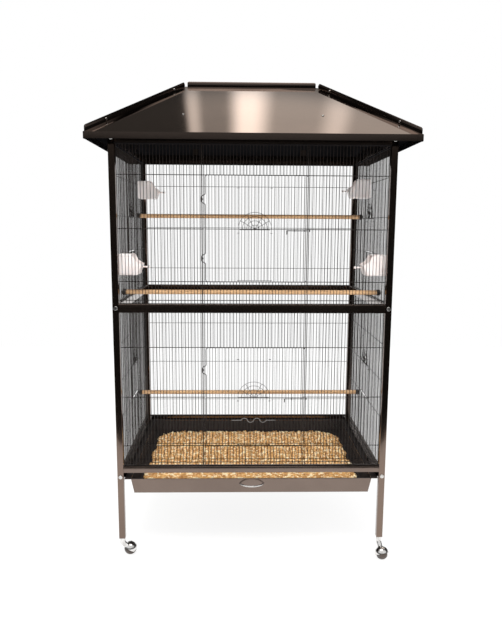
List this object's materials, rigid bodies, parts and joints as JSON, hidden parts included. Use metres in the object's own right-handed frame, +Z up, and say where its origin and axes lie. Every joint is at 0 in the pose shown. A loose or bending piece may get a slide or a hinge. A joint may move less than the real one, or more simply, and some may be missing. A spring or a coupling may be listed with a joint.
{
  "type": "bird aviary",
  "caption": "Tall wire aviary on casters with a hipped sheet-metal roof, front doors, lift-up feed doors, perches, feeder cups and a pull-out litter tray.",
  "frame": {"origin": "on the floor, under the middle of the eaves' rectangle", "axes": "+Z up, -Y out of the front with the doors, +X to the right seen from the front"},
  "size_m": [1.233, 0.947, 1.9664],
  "materials": {
    "enamel": "glossy dark brown enamel",
    "roof_enamel": "high-gloss dark brown enamel on sheet",
    "chrome": "polished",
    "screw_steel": "zinc plated",
    "perch_wood": "plain sanded dowel",
    "cup_plastic": "milky white",
    "dark_plastic": "satin",
    "wheel_plastic": "satin",
    "litter": "loose chips"
  },
  "bodies": {
    "frame": {"back_panel_lower": "enamel", "back_panel_upper": "enamel", "base_rail_back": "enamel", "base_rail_front": "enamel", "caster_sockets": "dark_plastic", "feeder_cups_front": "cup_plastic", "feeder_cups_high": "cup_plastic", "floor_grate": "enamel", "frame_screws": "screw_steel", "front_panel_lower": "enamel", "front_panel_upper": "enamel", "hinge_rods": "enamel", "hip_caps": "roof_enamel", "latch_keepers": "enamel", "left_panel_lower": "enamel", "left_panel_upper": "enamel", "mid_rails": "enamel", "perch_bolts": "screw_steel", "perch_caps": "dark_plastic", "perches": "perch_wood", "post_back_left": "enamel", "post_back_right": "enamel", "post_front_left": "enamel", "post_front_right": "enamel", "ridge_cap": "roof_enamel", "right_panel_lower": "enamel", "right_panel_upper": "enamel", "roof_brackets": "enamel", "roof_corner_caps": "roof_enamel", "roof_screws": "screw_steel", "roof_slope_back": "roof_enamel", "roof_slope_front": "roof_enamel", "roof_slope_left": "roof_enamel", "roof_slope_right": "roof_enamel", "side_channels": "enamel", "side_fans": "enamel", "side_feed_guides": "enamel", "top_rails": "enamel"},
    "front_door_lower": {"front_door_lower": "enamel", "scroll_lock": "enamel"},
    "front_feed_door_lower": {"front_feed_door_lower": "enamel"},
    "door_latch_lower": {"door_latch_lower": "enamel"},
    "left_feed_door_lower": {"left_feed_door_lower": "enamel"},
    "right_feed_door_lower": {"right_feed_door_lower": "enamel"},
    "front_door_upper": {"front_door_upper": "enamel"},
    "front_feed_door_upper": {"front_feed_door_upper": "enamel"},
    "door_latch_upper": {"door_latch_upper": "enamel"},
    "left_feed_door_upper": {"left_feed_door_upper": "enamel"},
    "right_feed_door_upper": {"right_feed_door_upper": "enamel"},
    "litter_tray": {"litter_tray": "enamel", "litter_bed": "litter", "tray_handle": "chrome"},
    "caster_hood_front_left": {"caster_hood_front_left": "chrome"},
    "caster_wheel_front_left": {"caster_wheel_front_left": "wheel_plastic"},
    "caster_hood_front_right": {"caster_hood_front_right": "chrome"},
    "caster_wheel_front_right": {"caster_wheel_front_right": "wheel_plastic"},
    "caster_hood_back_left": {"caster_hood_back_left": "chrome"},
    "caster_wheel_back_left": {"caster_wheel_back_left": "wheel_plastic"},
    "caster_hood_back_right": {"caster_hood_back_right": "chrome"},
    "caster_wheel_back_right": {"caster_wheel_back_right": "wheel_plastic"}
  },
  "joints": [
    {"name": "front_door_lower_swing", "type": "hinge", "parent": "frame", "child": "front_door_lower", "pos_m": [-0.1953, -0.3905, 0.478], "axis": [0, 0, -1], "range_deg": [0, 150]},
    {"name": "front_feed_door_lower_lift", "type": "slide", "parent": "front_door_lower", "child": "front_feed_door_lower", "axis": [0, 0, 1], "range_m": [0, 0.1922]},
    {"name": "door_latch_lower_slide", "type": "slide", "parent": "front_door_lower", "child": "door_latch_lower", "axis": [1, 0, 0], "range_m": [0, 0.0105]},
    {"name": "left_feed_door_lower_lift", "type": "slide", "parent": "frame", "child": "left_feed_door_lower", "axis": [0, 0, 1], "range_m": [0, 0.1444]},
    {"name": "right_feed_door_lower_lift", "type": "slide", "parent": "frame", "child": "right_feed_door_lower", "axis": [0, 0, 1], "range_m": [0, 0.1444]},
    {"name": "front_door_upper_swing", "type": "hinge", "parent": "frame", "child": "front_door_upper", "pos_m": [-0.1953, -0.3905, 1.142], "axis": [0, 0, -1], "range_deg": [0, 150]},
    {"name": "front_feed_door_upper_lift", "type": "slide", "parent": "front_door_upper", "child": "front_feed_door_upper", "axis": [0, 0, 1], "range_m": [0, 0.1922]},
    {"name": "door_latch_upper_slide", "type": "slide", "parent": "front_door_upper", "child": "door_latch_upper", "axis": [1, 0, 0], "range_m": [0, 0.0105]},
    {"name": "left_feed_door_upper_lift", "type": "slide", "parent": "frame", "child": "left_feed_door_upper", "axis": [0, 0, 1], "range_m": [0, 0.1444]},
    {"name": "right_feed_door_upper_lift", "type": "slide", "parent": "frame", "child": "right_feed_door_upper", "axis": [0, 0, 1], "range_m": [0, 0.1444]},
    {"name": "litter_tray_slide", "type": "slide", "parent": "frame", "child": "litter_tray", "axis": [0, -1, 0], "range_m": [0, 0.66]},
    {"name": "caster_swivel_front_left", "type": "hinge", "parent": "frame", "child": "caster_hood_front_left", "pos_m": [-0.531, -0.3875, 0.084], "axis": [0, 0, 1], "continuous": true},
    {"name": "caster_roll_front_left", "type": "hinge", "parent": "caster_hood_front_left", "child": "caster_wheel_front_left", "pos_m": [-0.50421, -0.36657, 0.025], "axis": [-0.6157, 0.788, 0], "continuous": true},
    {"name": "caster_swivel_front_right", "type": "hinge", "parent": "frame", "child": "caster_hood_front_right", "pos_m": [0.531, -0.3875, 0.084], "axis": [0, 0, 1], "continuous": true},
    {"name": "caster_roll_front_right", "type": "hinge", "parent": "caster_hood_front_right", "child": "caster_wheel_front_right", "pos_m": [0.53807, -0.42076, 0.025], "axis": [0.9781, 0.2079, 0], "continuous": true},
    {"name": "caster_swivel_back_left", "type": "hinge", "parent": "frame", "child": "caster_hood_back_left", "pos_m": [-0.531, 0.3875, 0.084], "axis": [0, 0, 1], "continuous": true},
    {"name": "caster_roll_back_left", "type": "hinge", "parent": "caster_hood_back_left", "child": "caster_wheel_back_left", "pos_m": [-0.56044, 0.4045, 0.025], "axis": [-0.5, -0.866, 0], "continuous": true},
    {"name": "caster_swivel_back_right", "type": "hinge", "parent": "frame", "child": "caster_hood_back_right", "pos_m": [0.531, 0.3875, 0.084], "axis": [0, 0, 1], "continuous": true},
    {"name": "caster_roll_back_right", "type": "hinge", "parent": "caster_hood_back_right", "child": "caster_wheel_back_right", "pos_m": [0.55705, 0.40936, 0.025], "axis": [-0.6428, 0.766, 0], "continuous": true}
  ]
}
